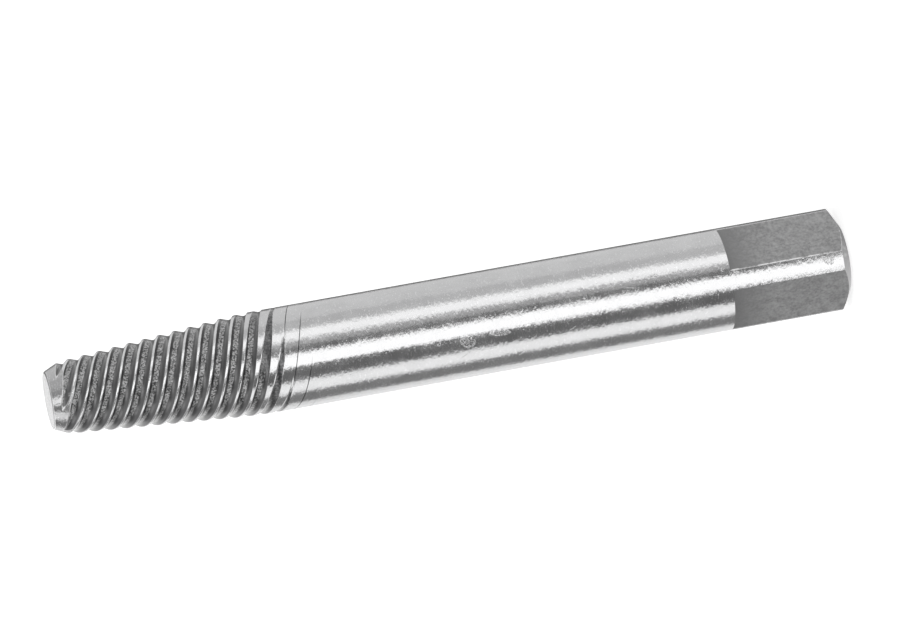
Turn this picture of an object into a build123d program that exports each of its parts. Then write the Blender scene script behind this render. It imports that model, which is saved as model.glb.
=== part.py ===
from build123d import *
from math import atan, cos, degrees, radians, sin, tan
import os

# Left-hand spiral screw extractor, turned, ground and milled from one bar of tool steel.
# It stands on its square end: the origin is the middle of the end face and +Z runs to the tip.
# All sizes are in millimetres, angles in degrees.

# Body
overall_length = 86.2
shank_diameter = 10.9
cone_length = 21.4
cone_tip_diameter = 7.4
cone_blend_radius = 60.0

# Tip end
tip_face_diameter = 6.1
tip_chamfer_length = 1.75
tip_edge_break = 0.12

# Square drive
square_across_flats = 9.0
square_length = 13.2
end_chamfer_length = 1.0
end_face_diameter = 7.3

# Spiral: several left-hand grooves, each with a long flank, a round root and a steeper wall
groove_starts = 6
groove_lead = 9.9
groove_depth = 0.355
flank_angle = 24.0
wall_angle = 41.0
root_radius = 0.45
shoulder_radius = 0.3
shoulder_entry_angle = 7.0
spiral_turn = 11.1

# Clearances of the cutting solids past the stock that they cut
side_allowance = 3.0
end_allowance = 1.0
cutter_rise = 0.03
cutter_lip = 0.01

shank_radius = shank_diameter / 2
cone_slope = (shank_radius - cone_tip_diameter / 2) / cone_length
cone_half_angle = degrees(atan(cone_slope))
cone_end_height = overall_length - cone_length
tip_chamfer_height = overall_length - tip_chamfer_length


def cone_radius(height):
    """Radius of the tapered crest line at a height above the square end."""
    return cone_tip_diameter / 2 + (overall_length - height) * cone_slope


def turned_blank():
    """Revolved bar: end chamfer, plain shank, blended taper, tip chamfer and tip face."""
    end_face_edge = (end_face_diameter / 2, 0)
    shank_foot = (shank_radius, end_chamfer_length)
    cone_foot = (shank_radius, cone_end_height)
    cone_top = (cone_radius(tip_chamfer_height), tip_chamfer_height)
    tip_edge = (tip_face_diameter / 2, overall_length)
    end_line = Polyline((0, 0), end_face_edge, shank_foot)
    side = FilletPolyline(shank_foot, cone_foot, cone_top, radius=cone_blend_radius)
    tip_line = Polyline(cone_top, tip_edge, (0, overall_length), (0, 0))
    outline = make_face([*end_line.edges(), *side.edges(), *tip_line.edges()])
    blank = revolve(Plane.XZ * outline, Axis.Z)
    tip_rim = blank.edges().filter_by(GeomType.CIRCLE).sort_by(Axis.Z)[-1]
    return chamfer(tip_rim, tip_edge_break)


def square_flats():
    """Four blocks outside the square, from the end face to the shoulder of the drive."""
    reach = shank_radius + side_allowance - square_across_flats / 2
    block = Box(
        2 * reach + square_across_flats,
        reach,
        square_length + end_allowance,
        align=(Align.CENTER, Align.MIN, Align.MIN),
    )
    block = Pos(0, square_across_flats / 2, -end_allowance) * block
    return [Rot(0, 0, quarter * 90) * block for quarter in range(4)]


def groove_section():
    """Closed cutter section, drawn with x along the taper towards the shank and y outwards.

    It starts at the shoulder of one land and ends at the wall under the next land.
    """
    entry = tan(radians(shoulder_entry_angle))
    flank = tan(radians(flank_angle))
    wall = tan(radians(wall_angle))
    turn = radians(flank_angle - shoulder_entry_angle)
    # The root arc lifts the floor off the sharp corner where flank and wall would meet.
    corner_lift = root_radius * (
        (1 / cos(radians(flank_angle)) * wall + 1 / cos(radians(wall_angle)) * flank) / (flank + wall) - 1
    )
    corner_depth = groove_depth + corner_lift
    shoulder_drop = shoulder_radius * tan(turn / 2) * sin(radians(shoulder_entry_angle))
    shoulder_x = shoulder_drop / entry
    corner_x = shoulder_x + (corner_depth - shoulder_drop) / flank
    start = (-cutter_lip / entry, cutter_lip)
    shoulder = (shoulder_x, -shoulder_drop)
    corner = (corner_x, -corner_depth)
    top = (corner_x + (corner_depth + cutter_rise) / wall, cutter_rise)
    cut = FilletPolyline(start, shoulder, corner, top, radius=[shoulder_radius, root_radius])
    lid = Polyline(top, (start[0], cutter_rise), start)
    return make_face([*cut.edges(), *lid.edges()])


def groove_cutter():
    """Section swept along a left-hand helix on the taper, past the tip and out of the shank."""
    fade_height = overall_length - (shank_radius + groove_depth - cone_tip_diameter / 2) / cone_slope
    low = fade_height - groove_lead / groove_starts
    high = overall_length + end_allowance
    path = Helix(
        pitch=groove_lead / cos(radians(cone_half_angle)),
        height=high - low,
        radius=cone_radius(low),
        center=(0, 0, low),
        cone_angle=-cone_half_angle,
        lefthand=True,
    )
    section_plane = Plane(
        origin=(cone_radius(low), 0, low),
        x_dir=(sin(radians(cone_half_angle)), 0, -cos(radians(cone_half_angle))),
        z_dir=(0, -1, 0),
    )
    return sweep(section_plane * groove_section(), path=path, is_frenet=True)


def extractor():
    """Blank with its spiral grooves, turned to where they lie against the milled square."""
    step = 360 / groove_starts
    cutter = groove_cutter()
    # The grooves begin half a step away from the seam where the revolved surface closes.
    cutters = [Rot(0, 0, (start + 0.5) * step) * cutter for start in range(groove_starts)]
    spiral_blank = turned_blank() - cutters
    return Rot(0, 0, spiral_turn) * spiral_blank - square_flats()


os.makedirs("parts", exist_ok=True)
export_step(extractor(), "parts/extractor.step")
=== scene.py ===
import math

import bpy
from mathutils import Matrix, Vector


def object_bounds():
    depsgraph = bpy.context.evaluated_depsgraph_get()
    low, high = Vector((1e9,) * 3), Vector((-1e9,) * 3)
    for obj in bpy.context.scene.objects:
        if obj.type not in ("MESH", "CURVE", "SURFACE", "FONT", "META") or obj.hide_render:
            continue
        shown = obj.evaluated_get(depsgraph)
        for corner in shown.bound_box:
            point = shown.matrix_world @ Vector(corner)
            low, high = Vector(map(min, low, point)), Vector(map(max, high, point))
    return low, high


bl_info = {
    "name": "Screw Extractor Finish",
    "version": (1, 0, 0),
    "blender": (4, 5, 0),
    "location": "3D View > Sidebar > Extractor",
    "description": "Steel finish and plain studio for a spiral screw extractor",
    "category": "Material",
}

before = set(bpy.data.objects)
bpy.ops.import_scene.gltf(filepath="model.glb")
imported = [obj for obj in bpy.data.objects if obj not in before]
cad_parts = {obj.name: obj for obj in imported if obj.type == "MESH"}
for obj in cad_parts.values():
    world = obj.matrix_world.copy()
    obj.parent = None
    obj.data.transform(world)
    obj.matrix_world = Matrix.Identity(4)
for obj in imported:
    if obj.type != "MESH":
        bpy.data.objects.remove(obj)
cad_low, cad_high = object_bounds()

NODE = "extractor"
MM_PER_M = 1000.0
FULL_TURN = 2 * math.pi
FULL_CIRCLE = 360.0

# Size of the tool in mm, from the CAD box
LENGTH = (cad_high.z - cad_low.z) * MM_PER_M
SHANK_RADIUS = (cad_high.x - cad_low.x) / 2 * MM_PER_M

# Stretches along the tool over which a finish comes or goes, in mm from the end face
# Painted shade on the flats begins here and deepens to the shoulder
SHOULDER_SHADE_BEGINS = 8.5
CUTS_GET_SHALLOWER = (61.0, 65.0)
GRANULES_BEGIN = (62.0, 65.0)
RUN_OUT_ENDS = (62.0, 64.5)
# Wear and painted highlight of the lands come in here
LAND_WEAR_AND_HIGHLIGHT_BEGIN = (64.0, 68.0)
CUT_EDGE_WEAR_BEGINS = (82.5, 84.0)

# Heights in mm between which the hairlines show past the run-out, and the reach of the soft ends
HAIRLINE_HEIGHT = (58.9, 60.9, 0.4)

# Strips across a groove in mm from the shank-side edge of a land, each with the reach of its soft
# edges, and how far the strips wander
# The first strip is painted shade under the edge of each land
PAINTED_SHADE_STRIP = (-0.1, 0.38, 0.06)
GRANULAR_STRIP = (0.38, 0.92, 0.05)
STRIP_WANDER = 0.25

# Places across a groove in mm where the land ends and begins, where the wall turns lighter and how
# far that wanders, and from where to where the hairline fades beside the root
LAND_ENDS = (0.1, 0.16)
LAND_BEGINS = (1.42, 1.5)
# The wall's painted shade lifts towards the next land
WALL_SHADE_LIFTS = (1.0, 1.45)
WALL_WANDER = 0.3
HAIRLINE_FADE = (0.02, 0.07)

# Depth in mm under the turned outline at which a cut begins, and over which it fades in
SHANK_CUT_DEPTH = 0.04
TAPER_CUT_DEPTH = 0.025
CUT_FADE = 0.03

# Depths in mm, each with the reach of its soft edges: the worn edge of the first grooves, and the
# burr on the square
CUT_EDGE_WEAR_DEPTH = (0.012, 0.085, 0.012)
BURR_DEPTH = (0.015, 0.11, 0.015)

# The burr lies in patches, on the last quarter of each half turn
BURR_PATCHES = (0.4, 0.56)
BURR_SHIFT = 0.25
BURR_SHARE = 0.25

# Skin in mm that tells the two end faces from the sides, the width of the tip's edge break, and how
# far past its shoulder the finish of the square reaches
FACE_SKIN = 0.01
FACE_SOFTNESS = 0.005
TIP_EDGE_WIDTH = 0.13
SQUARE_MARGIN = 0.05

# Least radius in mm at which the tool is unrolled, and pitches added to keep a fraction positive
LEAST_RADIUS = 0.01
SPARE_PITCHES = 100.0

# Noise patterns, with scales per mm
GROUND_GRAIN = {"scale": 1.8, "stretch": 1.9, "cloud_scale": 0.5}
ETCHED_GRAIN = {"scale": 4.2, "stretch": 1.0, "cloud_scale": 1.1}
CLOUD_NOISE = {"detail": 4.0, "roughness": 0.55}
GRANULE_NOISE = {"scale": 6.0, "detail": 1.0}
MILLED_NOISE = {"scale": 3.4, "roughness": 0.6}
RING_NOISE = {"scale": 6.0, "roughness": 0.6}
SPECK_FINENESS = 1.7

# Noise values between which a pattern goes from its dark to its light colour
CLOUD_RANGE = (0.3, 0.7)
GRANULE_RANGE = (0.36, 0.66)
MILLED_RANGE = (0.38, 0.62)
RUN_OUT_RANGE = (0.4, 0.65)
SPECK_RANGE = (0.6, 0.72)
MILLED_CLOUD_SHARE = 0.45

# Granules between these values, with soft edges, draw the lace of pits in a pitted spot
PIT_LACE = (0.44, 0.54, 0.03)

# Tints: the share of a finish's colour that each pattern, worn place, painted shade or painted
# highlight has
GROUND_TINTS = (0.95, 1.05)
# Groove walls and root: darker partly for their cut finish, partly as painted shade; light root
# granules are partly painted glints
WALL_TINTS = (0.36, 1.15)
ROOT_TINTS = (0.2, 1.85)
FLAT_TINTS = (0.78, 1.2)
RUN_OUT_TINTS = (1.6, 4.6)
# Painted highlight on the lands
LAND_HIGHLIGHT_TINT = 1.2
# Painted shade on the tip chamfer
TIP_CHAMFER_SHADE_TINT = 0.83
# Painted highlight along the tip's edge break
TIP_EDGE_HIGHLIGHT_TINT = 1.45
SPECK_TINT = 1.18
SPECK_SHARE = 0.7
DAMAGE_TINT = 1.25
# Painted light on the end chamfer's milled steel
END_CHAMFER_LIGHT_TINT = 1.45
HAIRLINE_TINT = 0.5
# Painted shade on the flats by the shoulder
SHOULDER_SHADE_TINT = 0.68
CUT_EDGE_TINT = 1.2
CUT_DAMAGE_TINT = 1.4
BURR_TINT = 1.4

# Range of the ground steel's roughness, as shares of it, and the roughness of small features
GROUND_ROUGHNESS_SHARES = (0.8, 1.25)
SPECK_ROUGHNESS = 0.24
DAMAGE_ROUGHNESS = 0.4
END_CHAMFER_ROUGHNESS = 0.42
TIP_CHAMFER_WEAR = 0.8

# Oil film: its roughness, and how far the surface turns from the eye where it gains gloss
OIL_ROUGHNESS = 0.15
OIL_GLANCE = (0.6, 0.74)

# Depth of scratches and height of pit rims in mm, and shares of the grain's or granules' height
MARK_RELIEF = 0.03
SPECK_RELIEF = 0.12
WALL_RELIEF = 0.15
FLAT_RELIEF = 0.6

# Light scratches: height in mm, angle round the axis, slant, length and width in mm
SCRATCHES = (
    (37.7, -26.2, 49.0, 0.80, 0.07),
    (30.8, -66.2, -27.0, 0.90, 0.07),
    (42.6, -76.4, -31.0, 0.85, 0.06),
    (24.0, -33.0, 12.0, 1.40, 0.05),
    (52.5, -28.0, 62.0, 0.60, 0.06),
    (33.5, 70.0, 35.0, 1.60, 0.07),
    (47.0, 150.0, -40.0, 1.20, 0.07),
    (20.5, -140.0, 25.0, 1.80, 0.07),
)

# Small pitted spots, in the same order
PITTED_SPOTS = (
    (42.1, -60.3, 15.0, 1.90, 1.30),
    (38.6, -57.0, 5.0, 2.60, 0.60),
    (84.1, -45.0, 80.0, 2.40, 0.70),
    (45.2, -57.5, 0.0, 0.50, 0.40),
    (30.4, -39.5, 60.0, 0.75, 0.35),
    (14.0, -30.7, 80.0, 0.55, 0.40),
    (2.6, -42.5, 20.0, 1.30, 0.90),
    (12.6, -36.5, 10.0, 0.60, 0.35),
    (50.0, 95.0, 20.0, 1.30, 0.80),
    (27.0, -165.0, 65.0, 0.90, 0.70),
)

# Share of a mark's reach over which it fades out
MARK_EDGE = (0.6, 1.0)

# Soft light panels round the tool: angle of the middle from the camera's side, width, soft edge,
# brightness, and how much higher the panel starts to fade, as a share of straight up
PANELS = (
    (-9.3, 30.0, 8.0, 1.62, 0.2),
    (26.0, 17.0, 12.0, 0.52, -0.2),
    (47.0, 29.0, 14.0, 1.40, -0.2),
    (70.0, 40.0, 10.0, 0.66, 0.0),
    (117.0, 72.0, 14.0, 0.81, 0.0),
    (-73.8, 32.6, 9.0, 1.27, 0.2),
    (-108.0, 44.0, 10.0, 0.27, 0.0),
    (-155.0, 60.0, 12.0, 1.05, 0.2),
)
ROOM_LEVEL = 0.175
WHITE = (1, 1, 1, 1)

# Where the panels and the room fade at the top and at the foot, as shares of straight up, and the
# brightness past them
TOP_FADE = (0.5, 0.9)
FOOT_FADE = (-0.97, -0.7)
OVERHEAD_LEVEL = 0.42

# The floor's size in m, its colour, and the glow for the camera alone that turns it white
FLOOR_SIZE = 8.0
FLOOR_COLOUR = (0.9, 0.9, 0.9, 1)
FLOOR_GLOW = 0.55

# Camera sensor in mm, and the nearest and farthest distance that it sees in m
SENSOR_WIDTH = 36.0
CLIP_NEAR = 0.01
CLIP_FAR = 10.0


class ExtractorShape(bpy.types.PropertyGroup):
    """Sizes of the turned and milled forms that the finish follows."""

    square_length: bpy.props.FloatProperty(
        name="Square length",
        description="Length of the milled square",
        default=0.0132,
        unit="LENGTH",
    )
    end_face_radius: bpy.props.FloatProperty(
        name="End face radius",
        description="Radius inside the end chamfer",
        default=0.00365,
        unit="LENGTH",
    )
    end_chamfer_length: bpy.props.FloatProperty(
        name="End chamfer length",
        description="Length of the end chamfer along the axis",
        default=0.001,
        unit="LENGTH",
    )
    cone_length: bpy.props.FloatProperty(
        name="Taper length",
        description="Length of the tapered part from the tip",
        default=0.0214,
        unit="LENGTH",
    )
    cone_tip_radius: bpy.props.FloatProperty(
        name="Taper tip radius",
        description="Radius of the taper carried on to the tip",
        default=0.0037,
        unit="LENGTH",
    )
    cone_blend_radius: bpy.props.FloatProperty(
        name="Blend radius",
        description="Radius that joins the taper to the shank",
        default=0.06,
        unit="LENGTH",
    )
    tip_chamfer_length: bpy.props.FloatProperty(
        name="Tip chamfer length",
        description="Length of the tip chamfer along the axis",
        default=0.00175,
        unit="LENGTH",
    )
    tip_face_radius: bpy.props.FloatProperty(
        name="Tip face radius",
        description="Radius of the flat tip",
        default=0.00305,
        unit="LENGTH",
    )
    groove_starts: bpy.props.IntProperty(
        name="Groove starts",
        description="Number of spiral grooves",
        default=6,
    )
    groove_lead: bpy.props.FloatProperty(
        name="Groove lead",
        description="Advance of a groove in one turn",
        default=0.0099,
        unit="LENGTH",
    )
    groove_phase: bpy.props.FloatProperty(
        name="Groove phase",
        description="Height at which the shank-side edge of a land meets +X",
        default=0.059939,
        unit="LENGTH",
    )
    groove_root: bpy.props.FloatProperty(
        name="Groove root",
        description="From that edge to the deepest line of the groove",
        default=0.00093,
        unit="LENGTH",
    )


class ExtractorSteel(bpy.types.PropertyGroup):
    """Colours, roughness and relief of the steel's finishes, with painted shade and painted
    highlights among the colours.
    """

    ground_colour: bpy.props.FloatVectorProperty(
        name="Ground steel",
        description="Colour of the ground shank, lands and tip chamfer",
        default=(0.635, 0.635, 0.64),
        subtype="COLOR",
    )
    # Groove walls and root are darker than the ground steel, partly their cut finish and partly
    # painted shade
    groove_steel_and_shade: bpy.props.FloatVectorProperty(
        name="Groove wall steel and shade",
        description="Colour of the smooth walls of the grooves",
        default=(0.17, 0.17, 0.172),
        subtype="COLOR",
    )
    root_steel_and_shade: bpy.props.FloatVectorProperty(
        name="Groove root steel and shade",
        description="Colour of the granular strip down each groove",
        default=(0.3, 0.3, 0.302),
        subtype="COLOR",
    )
    # Painted shade under the edge of each land; the run-out's colour is built on it too
    painted_shade_colour: bpy.props.FloatVectorProperty(
        name="Painted groove shade",
        description="Colour of the dark strip under each land",
        default=(0.045, 0.045, 0.046),
        subtype="COLOR",
    )
    flat_colour: bpy.props.FloatVectorProperty(
        name="Milled steel",
        description="Colour of the matt flats and the end chamfer of the square",
        default=(0.375, 0.375, 0.377),
        subtype="COLOR",
    )
    ground_roughness: bpy.props.FloatProperty(
        name="Ground roughness",
        description="Roughness of the ground surfaces",
        default=0.17,
        subtype="FACTOR",
    )
    groove_roughness: bpy.props.FloatProperty(
        name="Groove roughness",
        description="Roughness of the smooth walls of the grooves",
        default=0.33,
        subtype="FACTOR",
    )
    root_roughness: bpy.props.FloatProperty(
        name="Root roughness",
        description="Roughness of the granular strip",
        default=0.4,
        subtype="FACTOR",
    )
    worn_roughness: bpy.props.FloatProperty(
        name="Worn roughness",
        description="Roughness of the lands and the tip chamfer",
        default=0.26,
        subtype="FACTOR",
    )
    flat_roughness: bpy.props.FloatProperty(
        name="Flat roughness",
        description="Roughness of the flats",
        default=0.5,
        subtype="FACTOR",
    )
    oil: bpy.props.FloatProperty(
        name="Oil",
        description="Share of a thin oil film in the grooves",
        default=0.6,
        subtype="FACTOR",
    )
    grain_depth: bpy.props.FloatProperty(
        name="Grain depth",
        description="Height of the grinding grain",
        default=0.000028,
        unit="LENGTH",
    )
    granule_depth: bpy.props.FloatProperty(
        name="Granule depth",
        description="Height of the granules in the grooves",
        default=0.00003,
        unit="LENGTH",
    )


class ExtractorView(bpy.types.PropertyGroup):
    """Where the camera stands."""

    azimuth: bpy.props.FloatProperty(
        name="Azimuth",
        description="Side of the tool that faces the camera, round the axis from +X",
        default=math.radians(-41.8),
        subtype="ANGLE",
    )
    elevation: bpy.props.FloatProperty(
        name="Elevation",
        description="Angle at which the camera looks down along the tool",
        default=math.radians(9.14),
        subtype="ANGLE",
    )
    roll: bpy.props.FloatProperty(
        name="Roll",
        description="Slope of the tool's axis across the picture",
        default=math.radians(10.2),
        subtype="ANGLE",
    )
    distance: bpy.props.FloatProperty(
        name="Distance",
        description="Distance of the camera from the tool's axis, square to it",
        default=0.9376,
        unit="LENGTH",
    )
    height: bpy.props.FloatProperty(
        name="Height",
        description="Height of the camera over the floor",
        default=0.1936,
        unit="LENGTH",
    )
    side_step: bpy.props.FloatProperty(
        name="Side step",
        description="Small step of the camera square to the tool's axis",
        default=0.00077,
        unit="LENGTH",
    )
    lens: bpy.props.FloatProperty(
        name="Lens",
        description="Focal length on a 36 mm sensor",
        default=360.0,
        subtype="DISTANCE_CAMERA",
    )


class Wiring:
    """Short calls for the nodes of one tree."""

    def __init__(self, tree):
        self.tree = tree

    def node(self, kind, **settings):
        made = self.tree.nodes.new(kind)
        for name, value in settings.items():
            setattr(made, name, value)
        return made

    def feed(self, socket, value):
        """Link a socket to another one, or set its value."""
        if isinstance(value, bpy.types.NodeSocket):
            self.tree.links.new(value, socket)
        else:
            socket.default_value = value

    def math(self, operation, *values):
        made = self.node("ShaderNodeMath", operation=operation)
        for socket, value in zip(made.inputs, values):
            self.feed(socket, value)
        return made.outputs[0]

    def both(self, first, second):
        """Product of two masks or numbers."""
        return self.math("MULTIPLY", first, second)

    def either(self, first, second):
        """Larger of two masks or numbers."""
        return self.math("MAXIMUM", first, second)

    def inverse(self, mask):
        return self.math("SUBTRACT", 1.0, mask)

    def step(self, value, low, high):
        """0 under low, 1 over high and smooth between them."""
        made = self.node("ShaderNodeMapRange", interpolation_type="SMOOTHSTEP")
        self.feed(made.inputs["Value"], value)
        self.feed(made.inputs["From Min"], low)
        self.feed(made.inputs["From Max"], high)
        return made.outputs["Result"]

    def span(self, value, low, high, new_low=0.0, new_high=1.0):
        """Straight line from the new low at low to the new high at high, and level past both."""
        made = self.node("ShaderNodeMapRange")
        self.feed(made.inputs["Value"], value)
        self.feed(made.inputs["From Min"], low)
        self.feed(made.inputs["From Max"], high)
        self.feed(made.inputs["To Min"], new_low)
        self.feed(made.inputs["To Max"], new_high)
        return made.outputs["Result"]

    def mix(self, data_type, sockets, share, first, second):
        """Mix node of one type, whose sockets are the two inputs and the output for that type."""
        made = self.node("ShaderNodeMix", data_type=data_type)
        first_input, second_input, output = sockets
        self.feed(made.inputs[0], share)
        self.feed(made.inputs[first_input], first)
        self.feed(made.inputs[second_input], second)
        return made.outputs[output]

    def blend(self, share, first, second):
        """Number that goes from the first to the second as share goes from 0 to 1."""
        return self.mix("FLOAT", (2, 3, 0), share, first, second)

    def blend_vector(self, share, first, second):
        return self.mix("VECTOR", (4, 5, 1), share, first, second)

    def blend_colour(self, share, first, second):
        return self.mix("RGBA", (6, 7, 2), share, first, second)

    def tinted(self, share, colour, tints):
        """Colour that goes from its first to its second tint as share goes from 0 to 1."""
        return self.blend_colour(share, shade(colour, tints[0]), shade(colour, tints[1]))

    def join(self, x, y, z):
        made = self.node("ShaderNodeCombineXYZ")
        for socket, value in zip(made.inputs, (x, y, z)):
            self.feed(socket, value)
        return made.outputs[0]

    def vector_math(self, operation, vector, socket, value):
        """Vector that is multiplied or scaled by what is fed to the named socket."""
        made = self.node("ShaderNodeVectorMath", operation=operation)
        self.feed(made.inputs[0], vector)
        self.feed(made.inputs[socket], value)
        return made.outputs[0]

    def noise(self, vector, scale, detail=2.0, roughness=0.5):
        made = self.node("ShaderNodeTexNoise", noise_dimensions="3D")
        self.feed(made.inputs["Vector"], vector)
        self.feed(made.inputs["Scale"], scale)
        self.feed(made.inputs["Detail"], detail)
        self.feed(made.inputs["Roughness"], roughness)
        return made.outputs["Fac"]

    def group(self, tree, **values):
        """Place a node group, feed its inputs by name and return its outputs."""
        made = self.node("ShaderNodeGroup", node_tree=tree)
        for name, value in values.items():
            self.feed(made.inputs[name.replace("_", " ").title()], value)
        return made.outputs


def shade(colour, share):
    """A colour times a share, with its alpha."""
    return (*[value * share for value in colour], 1)


def in_mm(length):
    return length * MM_PER_M


def new_group(name, inputs, outputs):
    """Empty node group, with its wiring and the sockets of its input and output nodes."""
    tree = bpy.data.node_groups.new(name, "ShaderNodeTree")
    for label, kind in inputs.items():
        tree.interface.new_socket(label, in_out="INPUT", socket_type=kind)
    for label, kind in outputs.items():
        tree.interface.new_socket(label, in_out="OUTPUT", socket_type=kind)
    w = Wiring(tree)
    return tree, w, w.node("NodeGroupInput").outputs, w.node("NodeGroupOutput").inputs


def numbers(*labels):
    return dict.fromkeys(labels, "NodeSocketFloat")


def vectors(*labels):
    return dict.fromkeys(labels, "NodeSocketVector")


def around_axis_group():
    """Place on the tool in millimetres, with the angle in turns. Unrolled lies on the shank."""
    outputs = {**numbers("Radius", "Height", "Turn"), **vectors("Place", "Unrolled")}
    tree, w, given, result = new_group("Around The Axis", numbers("Unroll Radius"), outputs)
    object_place = w.node("ShaderNodeTexCoord").outputs["Object"]
    place = w.vector_math("SCALE", object_place, "Scale", MM_PER_M)
    parts = w.node("ShaderNodeSeparateXYZ")
    w.feed(parts.inputs[0], place)
    x, y, z = parts.outputs
    radius = w.math("SQRT", w.math("ADD", w.both(x, x), w.both(y, y)))
    w.feed(result["Radius"], radius)
    w.feed(result["Height"], z)
    w.feed(result["Turn"], w.math("DIVIDE", w.math("ARCTAN2", y, x), FULL_TURN))
    w.feed(result["Place"], place)
    # A pattern on a circle of the given radius stays closed where the angle jumps.
    reach = w.math("DIVIDE", given["Unroll Radius"], w.either(radius, LEAST_RADIUS))
    w.feed(result["Unrolled"], w.join(w.both(x, reach), w.both(y, reach), z))
    return tree


def cut_depth_group():
    """Depth under the turned outline in millimetres. Flats and grooves are deep."""
    inputs = numbers(
        "Radius",
        "Height",
        "Shank Radius",
        "Blend Start",
        "Blend Length",
        "Blend Radius",
        "Taper Slope",
        "Tip Height",
        "Tip Radius",
        "Tip Slope",
        "End Radius",
        "End Slope",
    )
    tree, w, given, result = new_group("Cut Depth", inputs, numbers("Depth"))
    past = w.either(w.math("SUBTRACT", given["Height"], given["Blend Start"]), 0.0)
    in_blend = w.math("MINIMUM", past, given["Blend Length"])
    blend_drop = w.math("DIVIDE", w.both(in_blend, in_blend), given["Blend Radius"])
    taper_drop = w.both(w.math("SUBTRACT", past, in_blend), given["Taper Slope"])
    drop = w.math("MULTIPLY_ADD", blend_drop, 0.5, taper_drop)
    side = w.math("SUBTRACT", given["Shank Radius"], drop)
    from_tip = w.math("SUBTRACT", given["Tip Height"], given["Height"])
    tip = w.math("MULTIPLY_ADD", from_tip, given["Tip Slope"], given["Tip Radius"])
    end = w.math("MULTIPLY_ADD", given["Height"], given["End Slope"], given["End Radius"])
    outline = w.math("MINIMUM", w.math("MINIMUM", side, tip), end)
    w.feed(result["Depth"], w.math("SUBTRACT", outline, given["Radius"]))
    return tree


def grain_group():
    """Fine grain of ground or etched steel: a height for bump, a broad cloud and sparse specks."""
    inputs = {**vectors("Vector"), **numbers("Scale", "Stretch", "Cloud Scale")}
    tree, w, given, result = new_group("Steel Grain", inputs, numbers("Height", "Cloud", "Specks"))
    stretch = w.join(1.0, 1.0, given["Stretch"])
    stretched = w.vector_math("MULTIPLY", given["Vector"], 1, stretch)
    specks = w.noise(stretched, w.both(given["Scale"], SPECK_FINENESS), detail=1.0)
    w.feed(result["Height"], w.noise(stretched, given["Scale"]))
    w.feed(result["Cloud"], w.noise(given["Vector"], given["Cloud Scale"], **CLOUD_NOISE))
    w.feed(result["Specks"], w.step(specks, *SPECK_RANGE))
    return tree


def across_groove_group():
    """Distance in millimetres from the shank-side edge of a land, along the axis to the square."""
    inputs = numbers("Height", "Turn", "Lead", "Starts", "Phase")
    tree, w, given, result = new_group("Across The Grooves", inputs, numbers("Across"))
    pitch = w.math("DIVIDE", given["Lead"], given["Starts"])
    # The grooves are left-hand: going round from +X to +Y they drop by a lead in each turn.
    below = w.math("SUBTRACT", given["Phase"], given["Height"])
    below = w.math("SUBTRACT", below, w.both(given["Turn"], given["Lead"]))
    pitches = w.math("ADD", w.math("DIVIDE", below, pitch), SPARE_PITCHES)
    w.feed(result["Across"], w.both(w.math("FRACT", pitches), pitch))
    return tree


def band_group():
    """1 between two values and 0 outside them, with soft edges."""
    inputs = numbers("Value", "Low", "High", "Edge")
    tree, w, given, result = new_group("Soft Band", inputs, numbers("Band"))

    def passed(limit):
        under = w.math("SUBTRACT", given[limit], given["Edge"])
        over = w.math("ADD", given[limit], given["Edge"])
        return w.step(given["Value"], under, over)

    w.feed(result["Band"], w.both(passed("Low"), w.inverse(passed("High"))))
    return tree


def mark_group():
    """Soft slanted ellipse on the unrolled shank, for a scratch or a pitted spot."""
    inputs = numbers(
        "Height",
        "Turn",
        "Radius",
        "Mark Height",
        "Mark Turn",
        "Slant",
        "Half Length",
        "Half Width",
    )
    tree, w, given, result = new_group("Surface Mark", inputs, numbers("Mark"))
    rise = w.math("SUBTRACT", given["Height"], given["Mark Height"])
    turned = w.math("SUBTRACT", given["Turn"], given["Mark Turn"])
    arc = w.both(w.both(turned, FULL_TURN), given["Radius"])
    cosine, sine = w.math("COSINE", given["Slant"]), w.math("SINE", given["Slant"])
    along = w.math("ADD", w.both(rise, cosine), w.both(arc, sine))
    aside = w.math("SUBTRACT", w.both(arc, cosine), w.both(rise, sine))
    along = w.math("DIVIDE", along, given["Half Length"])
    aside = w.math("DIVIDE", aside, given["Half Width"])
    reach = w.math("SQRT", w.math("ADD", w.both(along, along), w.both(aside, aside)))
    w.feed(result["Mark"], w.inverse(w.step(reach, *MARK_EDGE)))
    return tree


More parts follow.
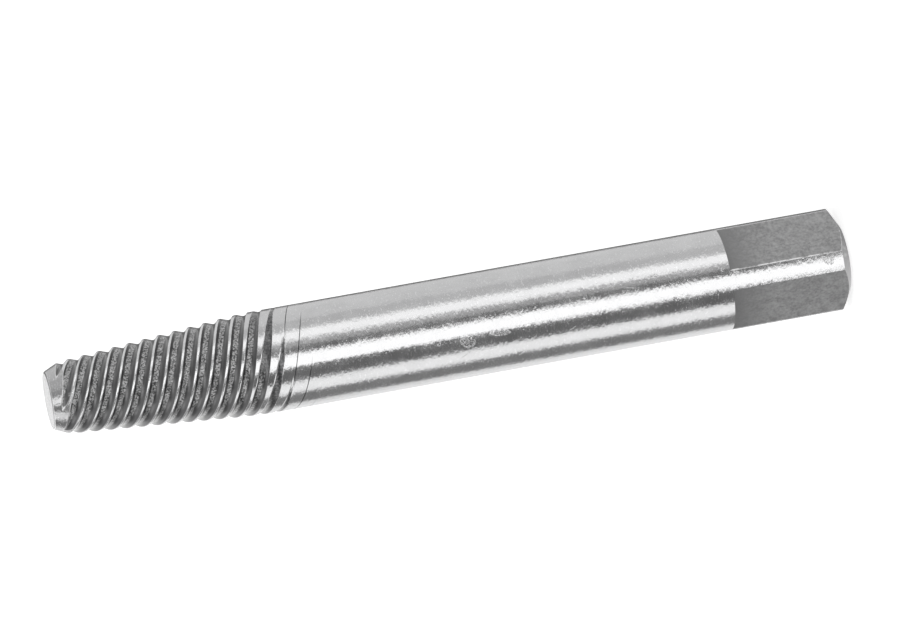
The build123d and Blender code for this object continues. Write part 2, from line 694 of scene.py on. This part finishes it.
class SteelSurface:
    """Places, patterns and masks on the tool, all in millimetres, that the finish and its painted
    shade and highlights are mixed from.
    """

    def __init__(self, w, shape):
        self.w = w
        self.shape = shape
        self.around = w.group(around_axis_group(), unroll_radius=SHANK_RADIUS)
        self.height = self.around["Height"]
        self.depth = self.find_depth()
        self.across = self.find_across()
        self.band_tree = band_group()
        self.find_regions()
        self.find_patterns()
        self.find_strips()
        self.find_worn_places()
        self.find_marks()

    def band(self, value, low, high, edge):
        """1 where the value lies between low and high, with soft edges."""
        return self.w.group(self.band_tree, value=value, low=low, high=high, edge=edge)["Band"]

    def find_depth(self):
        """Depth under the outline of the turned blank, which follows the sizes of the CAD."""
        shape = self.shape
        cone_tip_radius = in_mm(shape.cone_tip_radius)
        cone_slope = (SHANK_RADIUS - cone_tip_radius) / in_mm(shape.cone_length)
        cone_angle = math.atan(cone_slope)
        blend_radius = in_mm(shape.cone_blend_radius)
        half_blend = blend_radius * math.tan(cone_angle / 2)
        tip_chamfer_length = in_mm(shape.tip_chamfer_length)
        tip_face_radius = in_mm(shape.tip_face_radius)
        chamfer_radius = cone_tip_radius + tip_chamfer_length * cone_slope
        end_face_radius = in_mm(shape.end_face_radius)
        return self.w.group(
            cut_depth_group(),
            radius=self.around["Radius"],
            height=self.height,
            shank_radius=SHANK_RADIUS,
            blend_start=LENGTH - in_mm(shape.cone_length) - half_blend,
            blend_length=half_blend * (1 + math.cos(cone_angle)),
            blend_radius=blend_radius,
            taper_slope=cone_slope,
            tip_height=LENGTH,
            tip_radius=tip_face_radius,
            tip_slope=(chamfer_radius - tip_face_radius) / tip_chamfer_length,
            end_radius=end_face_radius,
            end_slope=(SHANK_RADIUS - end_face_radius) / in_mm(shape.end_chamfer_length),
        )["Depth"]

    def find_across(self):
        """Distance across the grooves from the edge of the next land."""
        return self.w.group(
            across_groove_group(),
            height=self.height,
            turn=self.around["Turn"],
            lead=in_mm(self.shape.groove_lead),
            starts=self.shape.groove_starts,
            phase=in_mm(self.shape.groove_phase),
        )["Across"]

    def find_regions(self):
        """Masks of the end faces, the flats, the grooves and the chamfers."""
        w, shape, height = self.w, self.shape, self.height
        self.between_ends = self.band(height, FACE_SKIN, LENGTH - FACE_SKIN, FACE_SOFTNESS)
        self.on_face = w.inverse(self.between_ends)
        least_depth = w.span(height, *CUTS_GET_SHALLOWER, SHANK_CUT_DEPTH, TAPER_CUT_DEPTH)
        deep = w.step(self.depth, least_depth, w.math("ADD", least_depth, CUT_FADE))
        self.cut = w.both(deep, self.between_ends)
        self.in_square = w.math("LESS_THAN", height, in_mm(shape.square_length) + SQUARE_MARGIN)
        self.flat = w.both(self.cut, self.in_square)
        self.groove = w.both(self.cut, w.inverse(self.in_square))
        self.end_chamfer = w.math("LESS_THAN", height, in_mm(shape.end_chamfer_length))
        taper_top = LENGTH - in_mm(shape.tip_chamfer_length)
        self.past_taper = w.math("GREATER_THAN", height, taper_top)

    def find_patterns(self):
        """Grain of the ground, milled and etched steel, and the rings turned into the end faces."""
        w, unrolled = self.w, self.around["Unrolled"]
        pattern = w.blend_vector(self.on_face, unrolled, self.around["Place"])
        grain = grain_group()
        self.ground = w.group(grain, vector=pattern, **GROUND_GRAIN)
        self.etched = w.group(grain, vector=unrolled, **ETCHED_GRAIN)
        self.granules = w.noise(unrolled, **GRANULE_NOISE)
        self.milled = w.noise(unrolled, **MILLED_NOISE)
        rings = w.noise(w.join(self.around["Radius"], 0.0, self.height), **RING_NOISE)
        self.rings = w.both(rings, self.on_face)

    def find_strips(self):
        """Painted shade strip under each land, granular strip beside it, and the run-out of the
        grooves.
        """
        w = self.w
        wander = w.both(w.math("SUBTRACT", self.etched["Height"], 0.5), STRIP_WANDER)
        strip = w.math("ADD", self.across, wander)
        # Painted shade under the edge of each land
        self.dark = self.band(strip, *PAINTED_SHADE_STRIP)
        granular = self.band(strip, *GRANULAR_STRIP)
        self.granular = w.both(granular, w.step(self.height, *GRANULES_BEGIN))
        self.run_out = w.inverse(w.step(self.height, *RUN_OUT_ENDS))

    def find_worn_places(self):
        """Lands lifted partly by painted highlight, painted highlight on the tip's edge, worn edges
        and burr, and the hairline in which each groove fades out.
        """
        w, height = self.w, self.height
        before_end = w.inverse(w.step(self.across, *LAND_ENDS))
        on_land = w.either(w.step(self.across, *LAND_BEGINS), before_end)
        # Lands are worn and rougher, and lifted in colour by painted highlight
        self.worn_land_and_highlight = w.both(on_land, w.step(height, *LAND_WEAR_AND_HIGHLIGHT_BEGIN))
        # Painted highlight along the tip's edge break
        tip_edge_begins = LENGTH - TIP_EDGE_WIDTH
        self.tip_edge_highlight = self.band(height, tip_edge_begins, LENGTH - FACE_SKIN, FACE_SOFTNESS)
        cut_edge = self.band(self.depth, *CUT_EDGE_WEAR_DEPTH)
        self.cut_edge = w.both(cut_edge, w.step(height, *CUT_EDGE_WEAR_BEGINS))

        # Milling leaves a burr on one edge of a flat, here on two opposite flats.
        burr = w.both(self.band(self.depth, *BURR_DEPTH), self.in_square)
        burr = w.both(burr, w.step(self.etched["Cloud"], *BURR_PATCHES))
        half_turns = w.math("MULTIPLY_ADD", self.around["Turn"], 2.0, BURR_SHIFT)
        near_edge = w.math("LESS_THAN", w.math("FRACT", half_turns), BURR_SHARE)
        self.burr = w.both(burr, near_edge)

        off_root = w.math("SUBTRACT", self.across, in_mm(self.shape.groove_root))
        on_root = w.inverse(w.step(w.math("ABSOLUTE", off_root), *HAIRLINE_FADE))
        self.hairline = w.both(self.band(height, *HAIRLINE_HEIGHT), on_root)

    def find_marks(self):
        """Scratches, and pitted spots with a lace of pits inside them."""
        w = self.w
        tree = mark_group()
        self.scratches = self.all_marks(tree, SCRATCHES)
        lace = self.band(self.granules, *PIT_LACE)
        self.spots = w.both(self.all_marks(tree, PITTED_SPOTS), lace)
        self.damage = w.either(self.spots, self.scratches)

    def all_marks(self, tree, marks):
        """Largest of the masks of a list of marks."""
        whole = 0.0
        for height, angle, slant, length, width in marks:
            mark = self.w.group(
                tree,
                height=self.height,
                turn=self.around["Turn"],
                radius=SHANK_RADIUS,
                mark_height=height,
                mark_turn=angle / FULL_CIRCLE,
                slant=math.radians(slant),
                half_length=length / 2,
                half_width=width / 2,
            )["Mark"]
            whole = self.w.either(whole, mark)
        return whole


def ground_colour(w, surface, steel):
    """Bright ground steel with its lands, chamfers, specks, scratches and hairlines; lands and tip
    edge carry painted highlights, the chamfers painted light and shade.
    """
    bright = steel.ground_colour
    shaded_tip_chamfer = w.both(surface.past_taper, surface.between_ends)
    specks = w.both(surface.ground["Specks"], SPECK_SHARE)
    layers = (
        # Painted highlight lifts the lands
        (surface.worn_land_and_highlight, bright, LAND_HIGHLIGHT_TINT),
        # Painted shade darkens the tip chamfer
        (shaded_tip_chamfer, bright, TIP_CHAMFER_SHADE_TINT),
        # Painted highlight on the tip's edge
        (surface.tip_edge_highlight, bright, TIP_EDGE_HIGHLIGHT_TINT),
        (specks, bright, SPECK_TINT),
        (surface.damage, bright, DAMAGE_TINT),
        # Painted light lightens the milled steel of the end chamfer
        (surface.end_chamfer, steel.flat_colour, END_CHAMFER_LIGHT_TINT),
        (surface.hairline, steel.groove_steel_and_shade, HAIRLINE_TINT),
    )
    colour = w.tinted(w.span(surface.ground["Cloud"], *CLOUD_RANGE), bright, GROUND_TINTS)
    for mask, layer, tint in layers:
        colour = w.blend_colour(mask, colour, shade(layer, tint))
    return colour


def groove_steel_and_shade(w, surface, steel):
    """Dark walls, partly painted shade, granular strip and painted shade strip of the grooves, and
    their bright worn edge.
    """
    # Painted shade darkens the walls and lifts towards the next land; light root granules are
    # partly painted glints
    across = w.math("ADD", surface.across, w.both(surface.etched["Cloud"], WALL_WANDER))
    wall = w.tinted(w.span(across, *WALL_SHADE_LIFTS), steel.groove_steel_and_shade, WALL_TINTS)
    root = w.tinted(w.span(surface.granules, *GRANULE_RANGE), steel.root_steel_and_shade, ROOT_TINTS)
    speckle = w.span(surface.etched["Height"], *RUN_OUT_RANGE)
    run_out = w.tinted(speckle, steel.painted_shade_colour, RUN_OUT_TINTS)
    colour = w.blend_colour(surface.granular, wall, root)
    # Painted shade: the dark strip under the edge of each land
    colour = w.blend_colour(surface.dark, colour, shade(steel.painted_shade_colour, 1.0))
    colour = w.blend_colour(surface.run_out, colour, run_out)
    worn, pitted = (shade(steel.ground_colour, tint) for tint in (CUT_EDGE_TINT, CUT_DAMAGE_TINT))
    colour = w.blend_colour(surface.cut_edge, colour, worn)
    return w.blend_colour(surface.spots, colour, pitted)


def flat_colour(w, surface, shape, steel):
    """Mottled matt steel of the flats, with painted shade that darkens them towards the shoulder.
    """
    mottle = w.blend(MILLED_CLOUD_SHARE, surface.milled, surface.etched["Cloud"])
    colour = w.tinted(w.span(mottle, *MILLED_RANGE), steel.flat_colour, FLAT_TINTS)
    # Painted shade darkens the flats towards the shoulder
    shade_near_shoulder = w.span(surface.height, SHOULDER_SHADE_BEGINS, in_mm(shape.square_length))
    return w.blend_colour(shade_near_shoulder, colour, shade(steel.flat_colour, SHOULDER_SHADE_TINT))


def steel_roughness(w, surface, steel):
    """Smooth ground steel, rougher where it is worn, marked or cut."""
    least, most = (steel.ground_roughness * share for share in GROUND_ROUGHNESS_SHARES)
    worn = w.either(surface.worn_land_and_highlight, w.both(surface.past_taper, TIP_CHAMFER_WEAR))
    ground = w.span(surface.ground["Cloud"], *CLOUD_RANGE, least, most)
    for mask, roughness in (
        (surface.ground["Specks"], SPECK_ROUGHNESS),
        (surface.damage, DAMAGE_ROUGHNESS),
        (surface.end_chamfer, END_CHAMFER_ROUGHNESS),
        (worn, steel.worn_roughness),
    ):
        ground = w.either(ground, w.both(mask, roughness))
    groove = w.blend(surface.granular, steel.groove_roughness, steel.root_roughness)
    return w.blend(surface.flat, w.blend(surface.groove, ground, groove), steel.flat_roughness)


def steel_relief(w, surface, steel):
    """Height in mm of the grain, specks, rings, scratches, pits and granules."""
    grain, granule = in_mm(steel.grain_depth), in_mm(steel.granule_depth)
    ground = w.both(surface.ground["Height"], grain)
    ground = w.math("MULTIPLY_ADD", surface.ground["Specks"], grain * SPECK_RELIEF, ground)
    ground = w.math("MULTIPLY_ADD", surface.rings, grain, ground)
    marks = w.math("SUBTRACT", surface.spots, surface.scratches)
    ground = w.math("MULTIPLY_ADD", marks, MARK_RELIEF, ground)
    groove_depth = w.blend(surface.granular, granule * WALL_RELIEF, granule)
    groove = w.both(surface.granules, groove_depth)
    flat = w.both(surface.etched["Height"], granule * FLAT_RELIEF)
    return w.blend(surface.cut, ground, w.blend(surface.flat, groove, flat))


def steel_material(shape, steel):
    """Bright ground steel with dark grooves, partly painted shade, and matt flats, told apart by
    depth in the bar.
    """
    material = bpy.data.materials.new("tool_steel_and_painted_light")
    material.use_nodes = True
    material.node_tree.nodes.clear()
    w = Wiring(material.node_tree)
    shader = w.node("ShaderNodeBsdfPrincipled")
    w.feed(w.node("ShaderNodeOutputMaterial").inputs["Surface"], shader.outputs[0])
    surface = SteelSurface(w, shape)

    ground, groove = ground_colour(w, surface, steel), groove_steel_and_shade(w, surface, steel)
    colour = w.blend_colour(surface.groove, ground, groove)
    colour = w.blend_colour(surface.flat, colour, flat_colour(w, surface, shape, steel))
    colour = w.blend_colour(surface.burr, colour, shade(steel.ground_colour, BURR_TINT))
    bump = w.node("ShaderNodeBump")
    bump.inputs["Distance"].default_value = 1 / MM_PER_M
    w.feed(bump.inputs["Height"], steel_relief(w, surface, steel))
    # The oil film gains gloss where it is seen at a glancing angle.
    glance = w.step(w.node("ShaderNodeLayerWeight").outputs["Facing"], *OIL_GLANCE)
    oil = w.both(surface.groove, w.blend(glance, steel.oil, 1.0))

    shader.inputs["Metallic"].default_value = 1.0
    shader.inputs["Coat Roughness"].default_value = OIL_ROUGHNESS
    w.feed(shader.inputs["Base Color"], colour)
    w.feed(shader.inputs["Roughness"], steel_roughness(w, surface, steel))
    w.feed(shader.inputs["Normal"], bump.outputs[0])
    w.feed(shader.inputs["Coat Weight"], oil)
    return material


class EXTRACTOR_OT_steel(bpy.types.Operator):
    """Give the extractor its ground and milled steel finish, with grooves darkened partly by
    painted shade, and painted highlights
    """

    bl_idname = "extractor.steel"
    bl_label = "Steel Finish"

    def execute(self, context):
        scene = context.scene
        finish = steel_material(scene.extractor_shape, scene.extractor_steel)
        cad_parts[NODE].material_slots[0].material = finish
        return {"FINISHED"}


def make_camera(view):
    """Camera a little on the tip's side, rolled to the slope of the tool in the picture."""
    outward = Vector((math.cos(view.azimuth), math.sin(view.azimuth), 0))
    along = Vector((0, 0, 1))
    across = along.cross(outward)
    back = outward * math.cos(view.elevation) + along * math.sin(view.elevation)
    to_end = outward * math.sin(view.elevation) - along * math.cos(view.elevation)
    right = to_end * math.cos(view.roll) - across * math.sin(view.roll)
    up = to_end * math.sin(view.roll) + across * math.cos(view.roll)
    data = bpy.data.cameras.new("picture_camera")
    data.lens = view.lens
    data.sensor_width = SENSOR_WIDTH
    data.clip_start = CLIP_NEAR
    data.clip_end = CLIP_FAR
    camera = bpy.data.objects.new("picture_camera", data)
    place = outward * view.distance + along * view.height + across * view.side_step
    turn = Matrix((right, up, back)).transposed()
    camera.matrix_world = Matrix.Translation(place) @ turn.to_4x4()
    bpy.context.scene.collection.objects.link(camera)
    bpy.context.scene.camera = camera


def floor_material():
    """Pale paper that keeps the tool's shadow and reads as white to the camera."""
    material = bpy.data.materials.new("pale_floor")
    material.use_nodes = True
    material.node_tree.nodes.clear()
    w = Wiring(material.node_tree)
    paper = w.node("ShaderNodeBsdfDiffuse")
    paper.inputs["Color"].default_value = FLOOR_COLOUR
    glow = w.node("ShaderNodeEmission")
    to_camera = w.node("ShaderNodeLightPath").outputs["Is Camera Ray"]
    w.feed(glow.inputs["Strength"], w.both(to_camera, FLOOR_GLOW))
    lit = w.node("ShaderNodeAddShader")
    w.feed(lit.inputs[0], paper.outputs[0])
    w.feed(lit.inputs[1], glow.outputs[0])
    w.feed(w.node("ShaderNodeOutputMaterial").inputs["Surface"], lit.outputs[0])
    return material


def make_floor():
    """Pale floor under the tool. The steel sees the studio past it, so its bands reach its end."""
    bpy.ops.mesh.primitive_plane_add(size=FLOOR_SIZE, location=(0, 0, 0))
    floor = bpy.context.object
    floor.name = "floor"
    floor.visible_glossy = False
    floor.visible_shadow = False
    floor.data.materials.append(floor_material())


def panel_mask(w, turn, middle, width, edge):
    """1 inside the width of a light panel, fading to 0 over its edge. All angles are in turns."""
    away = w.math("SUBTRACT", turn, middle)
    away = w.math("ABSOLUTE", w.math("WRAP", away, 0.5, -0.5))
    return w.inverse(w.step(away, (width - edge) / 2, (width + edge) / 2))


def make_studio(view):
    """Dim room with tall soft panels that the steel reflects, and white for the camera."""
    world = bpy.data.worlds.new("studio")
    world.use_nodes = True
    world.node_tree.nodes.clear()
    bpy.context.scene.world = world
    w = Wiring(world.node_tree)
    way = w.node("ShaderNodeSeparateXYZ")
    w.feed(way.inputs[0], w.node("ShaderNodeTexCoord").outputs["Generated"])
    x, y, up = way.outputs
    angle = w.math("SUBTRACT", w.math("ARCTAN2", y, x), view.azimuth)
    turn = w.math("DIVIDE", angle, FULL_TURN)

    level, higher = ROOM_LEVEL, 0.0
    for middle, width, edge, brightness, extra in PANELS:
        middle, width, edge = (degrees / FULL_CIRCLE for degrees in (middle, width, edge))
        mask = panel_mask(w, turn, middle, width, edge)
        level = w.either(level, w.both(mask, brightness))
        higher = w.math("MULTIPLY_ADD", mask, extra, higher)
    top = w.span(w.math("SUBTRACT", up, higher), *TOP_FADE, 1.0, 0.0)
    foot = w.span(up, *FOOT_FADE)
    level = w.blend(w.both(top, foot), OVERHEAD_LEVEL, level)

    background = w.node("ShaderNodeBackground")
    background.inputs["Color"].default_value = WHITE
    to_camera = w.node("ShaderNodeLightPath").outputs["Is Camera Ray"]
    w.feed(background.inputs["Strength"], w.blend(to_camera, level, 1.0))
    w.feed(w.node("ShaderNodeOutputWorld").inputs["Surface"], background.outputs[0])


class EXTRACTOR_OT_stage(bpy.types.Operator):
    """Set up the floor, the light and the camera"""

    bl_idname = "extractor.stage"
    bl_label = "Stage"

    def execute(self, context):
        view = context.scene.extractor_view
        make_floor()
        make_studio(view)
        make_camera(view)
        context.scene.view_settings.view_transform = "Standard"
        return {"FINISHED"}


class EXTRACTOR_PT_panel(bpy.types.Panel):
    """Sizes, colours and steps of the extractor"""

    bl_idname = "EXTRACTOR_PT_panel"
    bl_label = "Screw Extractor"
    bl_space_type = "VIEW_3D"
    bl_region_type = "UI"
    bl_category = "Extractor"

    def draw(self, context):
        for group in GROUPS:
            settings = getattr(context.scene, group)
            column = self.layout.column()
            for name in settings.__annotations__:
                column.prop(settings, name)
        for step in STEPS:
            self.layout.operator(step.bl_idname)


GROUPS = {
    "extractor_shape": ExtractorShape,
    "extractor_steel": ExtractorSteel,
    "extractor_view": ExtractorView,
}
STEPS = (EXTRACTOR_OT_steel, EXTRACTOR_OT_stage)
CLASSES = (*GROUPS.values(), *STEPS, EXTRACTOR_PT_panel)


def register():
    for cls in CLASSES:
        bpy.utils.register_class(cls)
    for name, group in GROUPS.items():
        setattr(bpy.types.Scene, name, bpy.props.PointerProperty(type=group))


def unregister():
    for name in GROUPS:
        delattr(bpy.types.Scene, name)
    for cls in reversed(CLASSES):
        bpy.utils.unregister_class(cls)


def main():
    register()
    bpy.ops.extractor.steel()
    bpy.ops.extractor.stage()


if __name__ == "__main__":
    main()
